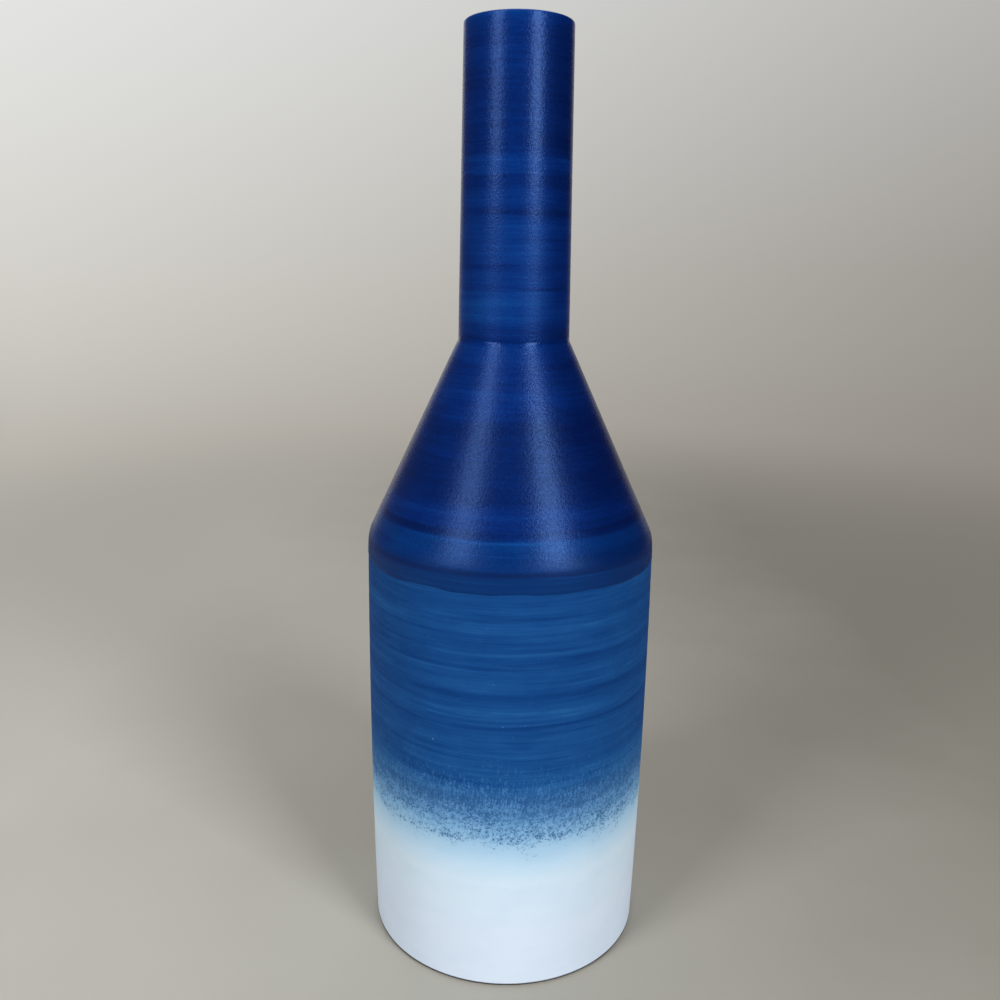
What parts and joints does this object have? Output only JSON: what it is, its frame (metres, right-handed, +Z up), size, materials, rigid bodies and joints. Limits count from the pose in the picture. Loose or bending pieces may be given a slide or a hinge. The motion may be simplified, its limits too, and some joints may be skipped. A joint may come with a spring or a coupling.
{
  "type": "bottle vase",
  "caption": "Tall ceramic bottle vase with a straight-sided body, conical shoulder and long narrow neck, glazed dark blue at the top fading to white at the foot.",
  "frame": {"origin": "centre of the foot, on the surface that the vase stands on", "axes": "+Z up, along the axis that the vase is turned about; it is the same all round, so +X and +Y are free"},
  "size_m": [0.128, 0.128, 0.4],
  "materials": {
    "bare_clay": "fired clay, unglazed and matt",
    "slip": "fired slip, matt",
    "white_glaze": "matt bluish white glaze",
    "blue_glaze": "matt brushed blue glaze",
    "navy_glaze": "satin dark blue glaze",
    "liner_glaze": "clear gloss liner glaze"
  },
  "bodies": {
    "root": {"foot_ring": "bare_clay", "foot_slip": "slip", "floor_slab": "bare_clay", "floor_slip": "slip", "floor_coil": "bare_clay", "body_cylinder": "bare_clay", "shoulder_slip": "slip", "shoulder_coil": "bare_clay", "shoulder_cone": "bare_clay", "neck_slip": "slip", "neck_tube": "bare_clay", "white_glaze": "white_glaze", "blue_glaze": "blue_glaze", "navy_glaze": "navy_glaze", "liner_glaze": "liner_glaze"}
  },
  "joints": []
}
